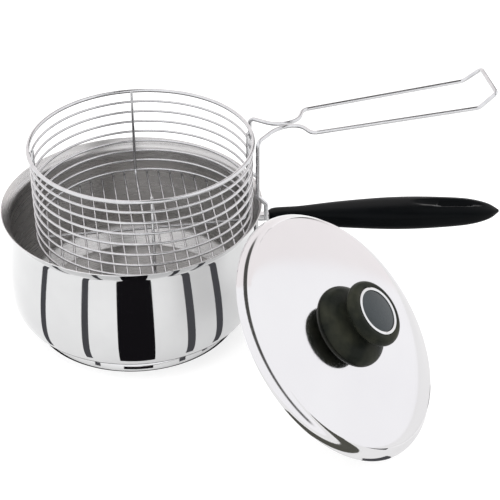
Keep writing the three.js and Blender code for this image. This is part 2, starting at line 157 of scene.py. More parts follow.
GRIP = {
    "leg_radius": 0.092,
    "hook_radius": 0.0988,
    "leg_angle": math.radians(12.5),
    "hook_tip": 0.092,
    "lip_slope": 0.00365,
    "lip_clearance": 0.00025,
    "height": 0.1637,
    "rise": 0.1,
    # (distance out, half width, lift, bend radius) from the leg's top to the far end
    "corners": [
        (0.105, 0.0052, 0.0, 0.0200),
        (0.116, 0.00185, 0.0, 0.0200),
        (0.127, 0.0052, 0.0, 0.0200),
        (0.133, 0.0195, 0.0, 0.0070),
        (0.266, 0.0232, 0.0, 0.0080),
        (0.280, 0.0210, 0.0095, 0.0035),
    ],
    "hook_bend": 0.0025,
    "leg_bend": 0.005,
}

LID = {
    "edge": (0.0992, 0.0),
    "curves": [
        ((0.0992, 0.005), (0.094, 0.0059), (0.093, 0.0094), 24),
        ((0.087, 0.0119), (0.050, 0.0155), (0.003, 0.0155), 40),
    ],
    "crown": 0.0155,
    "wall": 0.0008,
}

# Heights are above the lid's crown. The bell's skirt reaches a little below it, down to the dome.
KNOB = {
    "bore": 0.0026,
    "bore_depth": 0.015,
    "skirt": [(0.0192, -0.0001), (0.0318, -0.00042), (0.032, -0.00022)],
    "curves": [
        ((0.032, 0.0065), (0.024, 0.0095), (0.0155, 0.0108), 24),
        ((0.014, 0.0111), (0.013, 0.0118), (0.013, 0.013), 8),
        ((0.013, 0.0168), (0.0235, 0.0158), (0.0255, 0.022), 20),
        ((0.0261, 0.025), (0.024, 0.028), (0.021, 0.028), 16),
    ],
    "top": 0.028,
    "inlay_depth": 0.0024,
    "ring": (0.0188, 0.0165),
    "ring_proud": 0.0008,
    "cap_edge": 0.0002,
    "cap_rise": (0.0006, 0.0009),
}
KNOB_STEPS = 128

# Between neighbours that touch on the real object.
GAP = 0.0003
TURN_STEPS = 224
# A profile point nearer to the axis than this is a pole.
AXIS = 1e-7
# Height of a wire's domed end over its radius, and how far around the dome goes.
DOME = 0.6
DOME_ANGLE = math.radians(82)
SHARP_ANGLE = 40

FLOOR = {
    "color": (0.42, 0.42, 0.42, 1), "glow": 0.68, "roughness": 0.9, "half": 6.0, "height": -0.0001,
}

# Wall angles from the camera's side, in degrees, of the stripes that the pan's side mirrors.
BLACK_STRIPE = (-8.7, 6.3)
GREY_STRIPES = {
    "left": (-23.9, -20.9),
    "right": (20.2, 23.8),
    "far_left": (-44.7, -41.6),
    "far_right": (34.2, 37.8),
}
# The strips run from near to far. Their fan has its root where the pan's side meets the floor.
STRIP = {"height": 0.0004, "root": 0.0824, "near": 0.106, "far": 0.30, "steps": 24}
# A dark hoop on the floor round the base that only mirrors see: painted contact shadow, mirrored by
# the base's lower edge as a dark line.
PAINTED_SHADOW_RING = (0.0850, 0.0908)
# A glowing olive sheet on the floor in front that only mirrors see: painted reflection, dark olive on
# the sides of the lid, the knob, the handle and the wires that face the camera.
PAINTED_REFLECTION_PATCH = ((0.02, -0.42), (0.4, -0.42), (0.4, -0.27), (0.02, -0.27))

# A share is (direction, where it starts, where it ends), along the direction of a ray.
ROOM = {
    "light": 1.5,
    "white": (1.0, 1.0, 1.02),
    "pink": (0.94, 0.905, 0.91),
    "pink_toward": ((0, 1, 0.447), 0.615, 0.66),
    "hoop": (0.07, 0.07, 0.065),
    "hoop_axis": (0.836, 0.0735, 0.544),
    "hoop_inner": (0.71, 0.67),
    "hoop_outer": (0.49, 0.53),
    "hoop_above": ((0, 0, 1), 0.12, 0.22),
}

# ---------------------------------------------------------------- mesh helpers


def bezier(start, pull_start, pull_end, end, steps):
    """Points along a cubic curve in a [radius, height] profile, without its first point."""
    points = []
    for i in range(1, steps + 1):
        t = i / steps
        s = 1 - t
        weights = (s ** 3, 3 * s * s * t, 3 * s * t * t, t ** 3)
        corners = (start, pull_start, pull_end, end)
        points.append(tuple(sum(w * c[k] for w, c in zip(weights, corners)) for k in (0, 1)))
    return points


def curved(profile, curves):
    """A profile continued by rows of (pull at the start, pull at the end, end, steps)."""
    points = list(profile)
    for pull_start, pull_end, end, steps in curves:
        points += bezier(points[-1], pull_start, pull_end, end, steps)
    return points


def filleted(corners, steps=8):
    """A profile through (radius, height, fillet) corners, with an arc where there is a fillet."""
    points = []
    for i, (r, z, fillet) in enumerate(corners):
        if fillet <= 0 or i in (0, len(corners) - 1):
            points.append((r, z))
            continue
        corner = Vector((r, z))
        before = (Vector(corners[i - 1][:2]) - corner).normalized()
        after = (Vector(corners[i + 1][:2]) - corner).normalized()
        half = before.angle(after) / 2
        centre = corner + (before + after).normalized() * (fillet / math.sin(half))
        start = corner + before * (fillet / math.tan(half)) - centre
        sweep = (math.pi - 2 * half) * math.copysign(1, before.cross(after))
        for k in range(steps + 1):
            points.append(tuple(centre + Matrix.Rotation(-sweep * k / steps, 2) @ start))
    return points


def inward(outer, thickness):
    """A profile's line moved in by a sheet's thickness."""
    line = []
    for i, (r, z) in enumerate(outer):
        before = Vector(outer[max(i - 1, 0)])
        along = (Vector(outer[min(i + 1, len(outer) - 1)]) - before).normalized()
        line.append((r - along.y * thickness, z + along.x * thickness))
    return line


def skinned(outer, thickness, rim_steps=8):
    """A sheet's whole profile: its outer line, a rounded edge, and its inner line."""
    inner = [(max(r, 0.0), z) for r, z in inward(outer, thickness)]
    last, opposite = Vector(outer[-1]), Vector(inner[-1])
    centre = (last + opposite) / 2
    out = last - centre
    ahead = Vector((-out.y, out.x))
    edge = []
    for k in range(1, rim_steps):
        angle = math.pi * k / rim_steps
        edge.append(tuple(centre + out * math.cos(angle) + ahead * math.sin(angle)))
    return outer + edge + inner[::-1]


def turned(profile, segments=TURN_STEPS):
    """A (radius, height) profile turned about Z: its ends lie on the axis, or it closes on itself."""
    on_axis = [r < AXIS for r, _ in profile]
    closed = not (on_axis[0] and on_axis[-1])
    vertices, rows = [], []
    for (r, z), pole in zip(profile, on_axis):
        first = len(vertices)
        count = 1 if pole else segments
        for k in range(count):
            angle = 2 * math.pi * k / segments
            vertices.append((r * math.cos(angle), r * math.sin(angle), z))
        rows.append([first + k % count for k in range(segments + 1)])
    faces = []
    pairs = list(zip(rows, rows[1:])) + ([(rows[-1], rows[0])] if closed else [])
    for low, high in pairs:
        for k in range(segments):
            ring = [low[k], low[k + 1], high[k + 1], high[k]]
            face = [v for i, v in enumerate(ring) if v != ring[i - 1]]
            if len(face) > 2:
                faces.append(face)
    return vertices, faces


def swept(path, radius, sides, closed=False):
    """A round wire along a path of points, with domed ends unless it closes on itself."""
    points = [Vector(p) for p in path]
    count = len(points)
    tangents = []
    for i in range(count):
        before = points[i - 1] if closed or i else points[0]
        after = points[(i + 1) % count] if closed or i < count - 1 else points[-1]
        tangents.append((after - before).normalized())
    if not closed:
        points[0] += tangents[0] * DOME * radius
        points[-1] -= tangents[-1] * DOME * radius
    side = tangents[0].orthogonal().normalized()
    frames = []
    for i, tangent in enumerate(tangents):
        side = (side - tangent * side.dot(tangent)).normalized()
        frames.append((points[i], side.copy(), tangent.cross(side), radius))
    if not closed:
        frames = domed(frames, tangents, radius)
    vertices = []
    for centre, across, up, size in frames:
        for k in range(sides):
            angle = 2 * math.pi * k / sides
            vertices.append(centre + (across * math.cos(angle) + up * math.sin(angle)) * size)
    faces = []
    for i in range(len(frames) if closed else len(frames) - 1):
        j = (i + 1) % len(frames)
        for k in range(sides):
            n = (k + 1) % sides
            faces.append([i * sides + k, i * sides + n, j * sides + n, j * sides + k])
    if not closed:
        last = (len(frames) - 1) * sides
        faces.append(list(range(sides))[::-1])
        faces.append([last + k for k in range(sides)])
    return vertices, faces


def domed(frames, tangents, radius, steps=4):
    """Adds shrinking rings past both ends of a wire, so that it ends in a dome."""
    (first, across, up, _), (last, across_end, up_end, _) = frames[0], frames[-1]
    start, end = [], []
    for k in range(1, steps + 1):
        angle = DOME_ANGLE * k / steps
        ahead, size = DOME * radius * math.sin(angle), radius * math.cos(angle)
        start.insert(0, (first - tangents[0] * ahead, across, up, size))
        end.append((last + tangents[-1] * ahead, across_end, up_end, size))
    return start + frames + end


def bent(corners, radii, step=math.radians(7)):
    """The route through a polyline's corners, with each inner one rounded to its own radius."""
    points = [Vector(corners[0])]
    for i in range(1, len(corners) - 1):
        corner = Vector(corners[i])
        into, out = corner - Vector(corners[i - 1]), Vector(corners[i + 1]) - corner
        room = 0.48 * min(into.length, out.length)
        into.normalize()
        out.normalize()
        turn = into.angle(out)
        reach = min(radii[i] * math.tan(turn / 2), room)
        radius = reach / math.tan(turn / 2)
        start = corner - into * reach
        side = (out - into * out.dot(into)).normalized()
        centre = start + side * radius
        steps = max(3, math.ceil(turn / step))
        for k in range(steps + 1):
            angle = turn * k / steps
            turned_back = side * radius * math.cos(angle)
            points.append(centre - turned_back + into * radius * math.sin(angle))
    points.append(Vector(corners[-1]))
    return points


def circle(radius, height, count=216):
    """Points around Z."""
    return [
        Vector((radius * math.cos(a), radius * math.sin(a), height))
        for a in (2 * math.pi * k / count for k in range(count))
    ]


def merged(*parts):
    """Several (vertices, faces) as one."""
    vertices, faces = [], []
    for more_vertices, more_faces in parts:
        offset = len(vertices)
        vertices += [tuple(v) for v in more_vertices]
        faces += [[v + offset for v in face] for face in more_faces]
    return vertices, faces


def make(name, shape, *materials, place=None, sharp=SHARP_ANGLE):
    """A smooth-shaded mesh object from (vertices, faces), with its faces turned outward."""
    vertices, faces = shape
    mesh = bpy.data.meshes.new(name)
    mesh.from_pydata([tuple(v) for v in vertices], [], faces)
    if place is not None:
        mesh.transform(place)
    body = bmesh.new()
    body.from_mesh(mesh)
    bmesh.ops.recalc_face_normals(body, faces=body.faces)
    body.to_mesh(mesh)
    body.free()
    mesh.shade_smooth()
    mesh.set_sharp_from_angle(angle=math.radians(sharp))
    for material in materials:
        mesh.materials.append(material)
    piece = bpy.data.objects.new(name, mesh)
    bpy.context.scene.collection.objects.link(piece)
    return piece


def fit(piece, body, slot, *nodes):
    """The piece rides on a body and stands for CAD nodes, which it hides. The slot is not used."""
    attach(piece, body)
    if nodes:
        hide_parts(*nodes)


def combine(piece, operation, *tools):
    """Joins the tools' shapes to a piece, or cuts them out of it, and removes them."""
    for tool in tools:
        step = piece.modifiers.new(operation.lower(), "BOOLEAN")
        step.operation = operation
        step.solver = "EXACT"
        step.object = tool
    bpy.context.view_layer.update()
    result = piece.evaluated_get(bpy.context.evaluated_depsgraph_get())
    shaped = bpy.data.meshes.new_from_object(result)
    piece.modifiers.clear()
    piece.data = shaped
    for tool in tools:
        bpy.data.objects.remove(tool)


def second_finish(piece, first):
    """Puts the piece's second material on the faces from a vertex number on."""
    for polygon in piece.data.polygons:
        polygon.material_index = int(min(polygon.vertices) >= first)


def middle(node):
    """The centre of a CAD node's box."""
    low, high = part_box(node)
    return (low + high) / 2


# ---------------------------------------------------------------- materials


class Finish:
    """A principled material and short calls that build its nodes, in a piece's own frame."""

    def __init__(self, name, color, metallic, place=None, **settings):
        self.material = bpy.data.materials.new(name)
        self.material.use_nodes = True
        self.tree = self.material.node_tree
        self.shader = self.tree.nodes["Principled BSDF"]
        self.color = color
        self.set(self.shader, **{"Base Color": (*color, 1), "Metallic": metallic, **settings})
        self.coordinates = self.node("TexCoord").outputs["Object"]
        if place is not None:
            into = place.inverted()
            move, turn = into.translation, into.to_euler()
            own = self.node("Mapping", Vector=self.coordinates, Location=move, Rotation=turn)
            self.coordinates = own.outputs[0]

    def set(self, node, **inputs):
        """Links each input that is given a socket, and sets the others' values."""
        for name, value in inputs.items():
            if isinstance(value, bpy.types.NodeSocket):
                self.tree.links.new(value, node.inputs[name])
            else:
                node.inputs[name].default_value = value
        return node

    def node(self, kind, settings=(), **inputs):
        node = self.tree.nodes.new("ShaderNode" + kind)
        for name, value in dict(settings).items():
            setattr(node, name, value)
        return self.set(node, **inputs)

    def math(self, operation, first, second=0.0):
        node = self.node("Math", {"operation": operation})
        for socket, value in zip(node.inputs, (first, second)):
            if isinstance(value, bpy.types.NodeSocket):
                self.tree.links.new(value, socket)
            else:
                socket.default_value = value
        return node.outputs[0]

    def round_coordinates(self, around, across):
        """Coordinates that follow circles about the piece's own Z: they change slowly around it."""
        split = self.node("SeparateXYZ", Vector=self.coordinates)
        x, y, z = split.outputs
        squares = self.math("MULTIPLY", x, x), self.math("MULTIPLY", y, y)
        radius = self.math("SQRT", self.math("ADD", *squares))
        turn = self.math("MULTIPLY", self.math("ARCTAN2", y, x), around)
        joined = self.node("CombineXYZ", X=self.math("MULTIPLY", radius, across), Y=turn)
        self.tree.links.new(self.math("MULTIPLY", z, across), joined.inputs["Z"])
        return joined.outputs[0]

    def noise(self, scale, detail=3.0, vector=None):
        node = self.node("TexNoise", Vector=vector or self.coordinates, Scale=scale, Detail=detail)
        return node.outputs["Fac"]

    def ranged(self, value, low, high, start=0.3, end=0.7):
        node = self.node("MapRange", **{
            "Value": value, "From Min": start, "From Max": end, "To Min": low, "To Max": high,
        })
        return node.outputs["Result"]

    def tint(self, factor, other):
        mix = self.node("MixRGB", Fac=factor, Color1=(*self.color, 1), Color2=(*other, 1))
        self.set(self.shader, **{"Base Color": mix.outputs[0]})

    def bumps(self, *layers):
        """Bump from (height, strength, distance) layers, one on top of the other."""
        normal = None
        for height, strength, distance in layers:
            bump = self.node("Bump", Height=height, Strength=strength, Distance=distance)
            if normal is not None:
                self.set(bump, Normal=normal)
            normal = bump.outputs[0]
        self.set(self.shader, Normal=normal)


def polished_steel():
    """Mirror-polished stainless steel: faint buffing lines, slow waves and a few dull smudges."""
    finish = Finish("polished_steel", (0.58, 0.582, 0.585), 1.0)
    around = finish.round_coordinates(around=3.0, across=2600)
    lines = finish.noise(scale=1.0, detail=4, vector=around)
    smudges = finish.noise(scale=38, detail=5)
    finish.tint(finish.ranged(smudges, 0.0, 1.0), (0.555, 0.555, 0.56))
    finish.set(finish.shader, Roughness=finish.ranged(smudges, 0.03, 0.06, 0.35, 0.75))
    waves = finish.noise(scale=9, detail=1)
    finish.bumps((waves, 0.06, 0.002), (lines, 0.012, 0.0002))
    return finish.material


def satin_steel(name, place=None):
    """The inside of a pressing, left satin: fine turned lines around its axis."""
    finish = Finish(name, (0.575, 0.565, 0.558), 1.0, place)
    around = finish.round_coordinates(around=1.2, across=900)
    lines = finish.noise(scale=1.0, detail=3, vector=around)
    clouds = finish.noise(scale=14, detail=2)
    finish.tint(finish.ranged(clouds, 0.0, 1.0), (0.52, 0.51, 0.502))
    finish.set(finish.shader, Roughness=finish.ranged(lines, 0.24, 0.33))
    finish.bumps((lines, 0.04, 0.0002))
    return finish.material


def brushed_lid(place):
    """The lid's outside: polished, then brushed with long fine strokes across it."""
    finish = Finish("brushed_lid", (0.58, 0.575, 0.58), 1.0, place)
    stretch = finish.node("Mapping", Vector=finish.coordinates, Scale=(1400, 30, 30))
    strokes = finish.noise(scale=1.0, detail=4, vector=stretch.outputs[0])
    clouds = finish.noise(scale=16, detail=3)
    finish.tint(finish.ranged(clouds, 0.0, 1.0), (0.56, 0.553, 0.562))
    finish.set(finish.shader, Roughness=finish.ranged(strokes, 0.05, 0.10))
    finish.bumps((strokes, 0.02, 0.0002))
    return finish.material


def plated_wire():
    """Bright nickel-chrome plate on drawn wire: slightly uneven, a little duller in patches."""
    finish = Finish("plated_wire", (0.54, 0.54, 0.545), 1.0)
    patches = finish.noise(scale=180, detail=4)
    finish.tint(finish.ranged(patches, 0.0, 1.0), (0.47, 0.47, 0.48))
    finish.set(finish.shader, Roughness=finish.ranged(patches, 0.10, 0.24))
    grain = finish.noise(scale=900, detail=3)
    finish.bumps((grain, 0.08, 0.0002))
    return finish.material


def weld_metal():
    """Spot welds under the plate: rounder and rougher than the wire."""
    finish = Finish("weld_metal", (0.60, 0.60, 0.605), 1.0)
    grain = finish.noise(scale=1400, detail=4)
    finish.tint(finish.ranged(grain, 0.0, 1.0), (0.50, 0.50, 0.51))
    finish.set(finish.shader, Roughness=finish.ranged(grain, 0.22, 0.42))
    finish.bumps((grain, 0.25, 0.0003))
    return finish.material


def aluminium():
    """The pressed aluminium disc inside the base."""
    finish = Finish("aluminium", (0.62, 0.63, 0.64), 1.0)
    around = finish.round_coordinates(around=2.0, across=900)
    lines = finish.noise(scale=1.0, detail=5, vector=around)
    finish.tint(finish.ranged(lines, 0.0, 1.0), (0.52, 0.53, 0.54))
    finish.set(finish.shader, Roughness=finish.ranged(lines, 0.32, 0.48))
    finish.bumps((lines, 0.2, 0.0002))
    return finish.material


def zinc():
    """Zinc-plated screws and washers: greyer, with a fine crystal grain."""
    finish = Finish("zinc", (0.55, 0.56, 0.57), 1.0)
    grain = finish.noise(scale=700, detail=5)
    finish.tint(finish.ranged(grain, 0.0, 1.0), (0.42, 0.43, 0.44))
    finish.set(finish.shader, Roughness=finish.ranged(grain, 0.28, 0.45))
    finish.bumps((grain, 0.15, 0.0002))
    return finish.material


def phenolic(name, color, dust, roughness, specular):
    """Moulded phenolic: a soft gloss over a fine orange-peel skin, paler where it is handled."""
    finish = Finish(name, color, 0.0, **{"Specular IOR Level": specular})
    wear = finish.noise(scale=55, detail=6)
    finish.tint(finish.ranged(wear, 0.0, 1.0, 0.4, 0.8), dust)
    finish.set(finish.shader, Roughness=finish.ranged(wear, *roughness))
    skin, grain = finish.noise(scale=420, detail=2), finish.noise(scale=2600, detail=2)
    finish.bumps((skin, 0.10, 0.0004), (grain, 0.05, 0.0001))
    return finish.material


# ---------------------------------------------------------------- pan


def pan_shell():
    """The pressing: polished outside and over the lip, satin inside."""
    floor, foot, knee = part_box("pan_body")[0].z, PAN["foot"], PAN["knee"]
    low = filleted([
        (0.0, floor, 0), (0.5 * foot, floor, 0), (foot, floor, PAN["foot_fillet"]), (*knee, 0),
    ])
    outer = curved(low, PAN["curves"])
    piece = make("pan_shell", turned(skinned(outer, PAN["wall"])), STEEL, SATIN)
    second_finish(piece, 1 + TURN_STEPS * (len(outer) - 1 + PAN["polished_rim_rings"]))
    fit(piece, "pan", "polished_steel", "pan_body")


def base_saucer():
    """The pressed saucer under the pan, with a shallow ring groove in its underside."""
    radius, lip, sheet, top = BASE["radius"], BASE["lip_radius"], BASE["sheet"], BASE["lip_top"]
    groove, depth, rounding = BASE["groove"], BASE["groove_depth"], sheet * BASE["lip_rounding"]
    profile = filleted([
        (0.0, 0.0, 0),
        (groove[0], 0.0, depth), (groove[1], depth, depth),
        (groove[2], depth, depth), (groove[3], 0.0, depth),
        (radius, 0.0, BASE["foot_fillet"]), (lip, top, rounding),
        (lip - sheet, top, rounding), (lip - sheet, sheet, BASE["inner_fillet"]), (0.0, sheet, 0),
    ])
    fit(make("base_saucer", turned(profile), STEEL), "pan", "polished_steel", "base_cap")


def bracket():
    """The saddle plate welded to the pan, with the flat bar that carries the handle."""
    low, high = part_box("handle_bracket")
    inner, outer = BRACKET["radius"], BRACKET["radius"] + BRACKET["thickness"]
    steps = 24
    vertices, faces = [], []
    for i in range(steps + 1):
        angle = BRACKET["half_angle"] * (2 * i / steps - 1)
        for radius in (inner, outer):
            for z in (low.z, high.z):
                vertices.append((radius * math.cos(angle), radius * math.sin(angle), z))
    for i in range(steps):
        a, b = 4 * i, 4 * i + 4
        for p, q in ((0, 1), (1, 3), (3, 2), (2, 0)):
            faces.append([a + p, a + q, b + q, b + p])
    faces += [[0, 1, 3, 2], [4 * steps + k for k in (0, 2, 3, 1)]]
    plate = make("handle_saddle", (vertices, faces), STEEL)
    bar_half = Vector(((high.x - inner - BRACKET["bar_sink"]) / 2, *BRACKET["bar_half"]))
    centre = Vector((high.x - bar_half.x, 0.0, HANDLE["root_height"]))
    bar = make("handle_bar", box_shape(centre, bar_half), STEEL)
    combine(plate, "UNION", bar)
    soften = plate.modifiers.new("soft edges", "BEVEL")
    soften.width = BRACKET["bevel"]
    soften.segments = 3
    soften.limit_method = "ANGLE"
    soften.angle_limit = math.radians(SHARP_ANGLE)
    fit(plate, "pan", "polished_steel", "handle_bracket")


def box_shape(centre, half):
    """A block around a point."""
    vertices = [
        centre + Vector((x * half.x, y * half.y, z * half.z))
        for x in (-1, 1) for y in (-1, 1) for z in (-1, 1)
    ]
    faces = [[0, 1, 3, 2], [4, 6, 7, 5], [0, 4, 5, 1], [2, 3, 7, 6], [0, 2, 6, 4], [1, 5, 7, 3]]
    return vertices, faces


def smooth_stations(stations, each):
    """A centripetal run of Catmull-Rom points through the stations."""
    points = [Vector(s) for s in stations]
    ends = [2 * points[0] - points[1], *points, 2 * points[-1] - points[-2]]
    result = []
    for i in range(1, len(ends) - 2):
        p0, p1, p2, p3 = ends[i - 1:i + 3]
        knots = [0.0]
        for a, b in ((p0, p1), (p1, p2), (p2, p3)):
            knots.append(knots[-1] + math.sqrt((b - a).length))
        for k in range(each):
            t = knots[1] + (knots[2] - knots[1]) * k / each
            result.append(catmull(t, knots, (p0, p1, p2, p3)))
    return result + [points[-1]]


def catmull(t, knots, points):
    """The Barry-Goldman point of a Catmull-Rom segment."""
    level = list(points)
    for order in (1, 2, 3):
        level = [
            level[i].lerp(level[i + 1], (t - knots[lower]) / (knots[upper] - knots[lower]))
            for i, (lower, upper) in enumerate(spans(order))
        ]
    return level[0]


def spans(order):
    """The knot pairs that each order of the Catmull-Rom pyramid runs between."""
    return {1: ((0, 1), (1, 2), (2, 3)), 2: ((0, 2), (1, 3)), 3: ((1, 2),)}[order]


def handle():
    """The moulded grip: ovals along +X, with a shallow dish around its hanging slot."""
    first, last = HANDLE["stations"][0][0], HANDLE["stations"][-1][0]
    sides = HANDLE["sides"]
    power = 2 / HANDLE["oval_power"]
    dish_start, dish_end, dish_width, dish_depth = HANDLE["dish"]
    dish_middle, dish_half = (dish_start + dish_end) / 2, (dish_end - dish_start) / 2
    vertices, faces = [], []
    rows = smooth_stations(HANDLE["stations"], HANDLE["steps_between_stations"])
    for x, width, thickness in rows:
        share = (x - first) / (last - first)
        middle_height = HANDLE["root_height"] * (1 - share) + HANDLE["tip_height"] * share
        for k in range(sides):
            angle = 2 * math.pi * k / sides
            across, up = math.cos(angle), math.sin(angle)
            y = width / 2 * math.copysign(abs(across) ** power, across)
            z = thickness / 2 * math.copysign(abs(up) ** power, up)
            if z > 0:
                away = math.hypot((x - dish_middle) / dish_half, y / (dish_width / 2))
                z -= dish_depth * max(0.0, 1 - away ** 2) ** HANDLE["dish_power"]
            vertices.append((x, y, middle_height + z))
    for i in range(len(rows) - 1):
        for k in range(sides):
            n = (k + 1) % sides
            faces.append([i * sides + k, i * sides + n, (i + 1) * sides + n, (i + 1) * sides + k])
    faces += [list(range(sides))[::-1], [(len(rows) - 1) * sides + k for k in range(sides)]]
    piece = make("pan_grip", (vertices, faces), HANDLE_BLACK, sharp=50)
    combine(piece, "DIFFERENCE", slot_tool(), socket_tool(), screw_hole_tool())
    fit(piece, "pan", "phenolic", "pan_handle")
    piece.visible_glossy = False


def slot_tool():
    """A round-ended block through the handle's end."""
    start, end, width = HANDLE["slot"]
    steps, reach = 16, 0.03
    outline = []
    for centre, turn in ((end - width / 2, -math.pi / 2), (start + width / 2, math.pi / 2)):
        for k in range(steps + 1):
            angle = turn + math.pi * k / steps
            outline.append((centre + width / 2 * math.cos(angle), width / 2 * math.sin(angle)))
    count = len(outline)
    vertices = [(x, y, HANDLE["tip_height"] + z) for z in (-reach, reach) for x, y in outline]
    faces = [list(range(count))[::-1], [count + k for k in range(count)]]
    faces += [[k, (k + 1) % count, count + (k + 1) % count, count + k] for k in range(count)]
    return make("slot_tool", (vertices, faces))


def socket_tool():
    """The blind square hole that the bracket's bar fills."""
    bar_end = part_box("handle_bracket")[1].x + GAP
    start = HANDLE["socket_start"]
    bar_y, bar_z = BRACKET["bar_half"]
    half = Vector(((bar_end - start) / 2, bar_y + GAP, bar_z + GAP))
    return make("socket_tool", box_shape(Vector((start + half.x, 0, HANDLE["root_height"])), half))


def screw_hole_tool():
    """The stepped hole under the handle for its screw."""
    low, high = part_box("handle_screw")
    wide, narrow = (high.x - low.x) / 2 + GAP, HANDLE["screw_hole_radius"]
    below, seat = low.z - 0.02, low.z + HANDLE_SCREW[1] + GAP
    profile = [
        (0, below), (wide, below), (wide, seat), (narrow, seat), (narrow, high.z), (0, high.z),
    ]
    place = Matrix.Translation(((low.x + high.x) / 2, 0, 0))
    return make("screw_hole_tool", turned(profile, segments=48), place=place)


def screw(name, node, place, size, length, body):
    """A pan-head screw pointing up its own Z from z = 0, with a cross recess in its head."""
    head, height, shank = size
    profile = filleted([
        (0.0, -height, 0), (head * 0.72, -height, head * 0.25), (head, -height * 0.5, head * 0.15),
        (head, 0.0, 0.0002), (shank, 0.0, 0.0001), (shank, length, 0.0003), (0.0, length, 0),
    ])
    piece = make(name, turned(profile, segments=64), ZINC, place=place)
    recesses = (
        (head * 0.5, SCREW_SLOT_HALF, height * 0.55),
        (SCREW_SLOT_HALF, head * 0.5, height * 0.5),
    )
    arms = [
        make(name + "_arm", box_shape(Vector((0, 0, -height)), Vector(half)), place=place)
        for half in recesses
    ]
    combine(piece, "DIFFERENCE", *arms)
    fit(piece, body, "fixings", node)


def pan():
    """The pan, its base, its handle and the handle's fixings. The core keeps its CAD shape."""
    pan_shell()
    base_saucer()
    bracket()
    handle()
    low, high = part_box("handle_screw")
    head_height = HANDLE_SCREW[1]
    seat = Matrix.Translation(((low.x + high.x) / 2, 0, low.z + head_height))
    screw("handle_fixing", "handle_screw", seat, HANDLE_SCREW, high.z - low.z - head_height, "pan")
    frame["nodes"]["base_core"].data.materials.clear()
    frame["nodes"]["base_core"].data.materials.append(ALUMINIUM)


# ---------------------------------------------------------------- basket


def ring_nodes():
    """The side hoops from the top down, then the floor hoop."""
    return [f"basket_side_ring_{i}" for i in range(1, BASKET["rings"] + 1)] + ["basket_floor_ring"]


def floor_wire_offsets():
    """How far each straight floor wire lies from the middle."""
    each_side = BASKET["floor_wires_each_side"]
    return [i * BASKET["floor_pitch"] for i in range(-each_side, each_side + 1) if i]


def frame_wire_path(bottom):
    """A U down one side, under the floor and up the other side."""
    radius, top = BASKET["frame_radius"], BASKET["frame_top"]
    corners = [(-radius, 0, top), (-radius, 0, bottom), (radius, 0, bottom), (radius, 0, top)]
    return bent(corners, [0, BASKET["frame_bend"], BASKET["frame_bend"], 0])


def grip_path():
    """From a hook tip over the lip, up the basket's side, along the grip, and back to the other."""
    leg, hook, angle = GRIP["leg_radius"], GRIP["hook_radius"], GRIP["leg_angle"]
    clearance = (WIRE["grip"] + GAP + GRIP["lip_clearance"]) * math.sqrt(2)
    kink = leg + GRIP["lip_slope"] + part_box("pan_body")[1].z + clearance
    upright = (
        (hook, GRIP["hook_tip"]), (hook, kink - hook), (leg, kink - leg), (leg, GRIP["height"]),
    )
    side = [(radius * math.cos(angle), radius * math.sin(angle), z) for radius, z in upright]
    bends = [0, GRIP["hook_bend"], GRIP["hook_bend"], GRIP["leg_bend"]]
    for reach, half_width, lift, bend in GRIP["corners"]:
        side.append((reach, half_width, GRIP["height"] + GRIP["rise"] * (reach - leg) + lift))
        bends.append(bend)
    mirrored = [(x, -y, z) for x, y, z in reversed(side)]
    return bent(side + mirrored, bends + bends[::-1])


def nub(centre, along, size, height):
    """A small flattened bead where two wires are welded, lying along a direction."""
    angles = [math.radians(degrees) for degrees in range(-67, 68, 22)]
    round_side = [(math.cos(angle), math.sin(angle)) for angle in angles]
    vertices, faces = turned([(0, -1), *round_side, (0, 1)], segments=12)
    turn = Vector((0, 0, 1)).rotation_difference(Vector(along)).to_matrix()
    sized = [Vector((x * size, y * size, z * height)) for x, y, z in vertices]
    return [turn @ vertex + Vector(centre) for vertex in sized], faces


def weld_nubs(heights):
    """Beads between the rings and the wires that cross them."""
    beads = []
    ring, frame_radius = BASKET["ring_radius"], BASKET["frame_radius"]
    between = (ring + frame_radius + (WIRE["frame"] - WIRE["ring"])) / 2
    for quarter in range(4):
        angle = quarter * math.pi / 2
        out = Vector((math.cos(angle), math.sin(angle), 0))
        for height in heights:
            centre = out * between + Vector((0, 0, height))
            beads.append(nub(centre, out, WELD_BEAD["radius"], WELD_BEAD["ring_height"]))
    floor_height = middle("basket_floor_wire_01").z
    for offset in floor_wire_offsets():
        half = math.sqrt(ring ** 2 - offset ** 2)
        for side in (-1, 1):
            centre = (offset, side * half, (floor_height + heights[-1]) / 2)
            beads.append(nub(centre, (0, 0, 1), WELD_BEAD["radius"], WELD_BEAD["floor_height"]))
    return merged(*beads)


def wire(name, shape, place, node):
    """One plated wire of the basket."""
    piece = make(name, shape, WIRE_METAL, place=place)
    fit(piece, "basket", "wire", node)
    return piece


def basket():
    """The hoops, the U-shaped wires, the floor, the grip and the welds between them."""
    centre = middle("basket_rim")
    place = Matrix.Translation((centre.x, centre.y, 0)) @ Matrix.Rotation(BASKET["yaw"], 4, "Z")
    rim = swept(circle(BASKET["rim_radius"], centre.z), WIRE["rim"], THICK_WIRE_SIDES, closed=True)
    wire("wire_rim", rim, place, "basket_rim")
    heights = []
    for node in ring_nodes():
        heights.append(middle(node).z)
        line = circle(BASKET["ring_radius"], heights[-1])
        ring = swept(line, WIRE["ring"], THIN_WIRE_SIDES, closed=True)
        wire(node.replace("basket", "wire"), ring, place, node)
    for number, turn in ((1, 0), (2, math.pi / 2)):
        node = f"basket_frame_wire_{number}"
        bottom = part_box(node)[0].z + WIRE["frame"]
        shape = swept(frame_wire_path(bottom), WIRE["frame"], THIN_WIRE_SIDES)
        turned_place = place @ Matrix.Rotation(turn, 4, "Z")
        wire(f"wire_frame_{number}", shape, turned_place, node)
    basket_floor(place)
    shape = swept(grip_path(), WIRE["grip"], THICK_WIRE_SIDES)
    wire("wire_grip", shape, place, "basket_handle").visible_glossy = False
    welds = make("wire_welds", weld_nubs(heights), WELD, place=place)
    fit(welds, "basket", "wire")


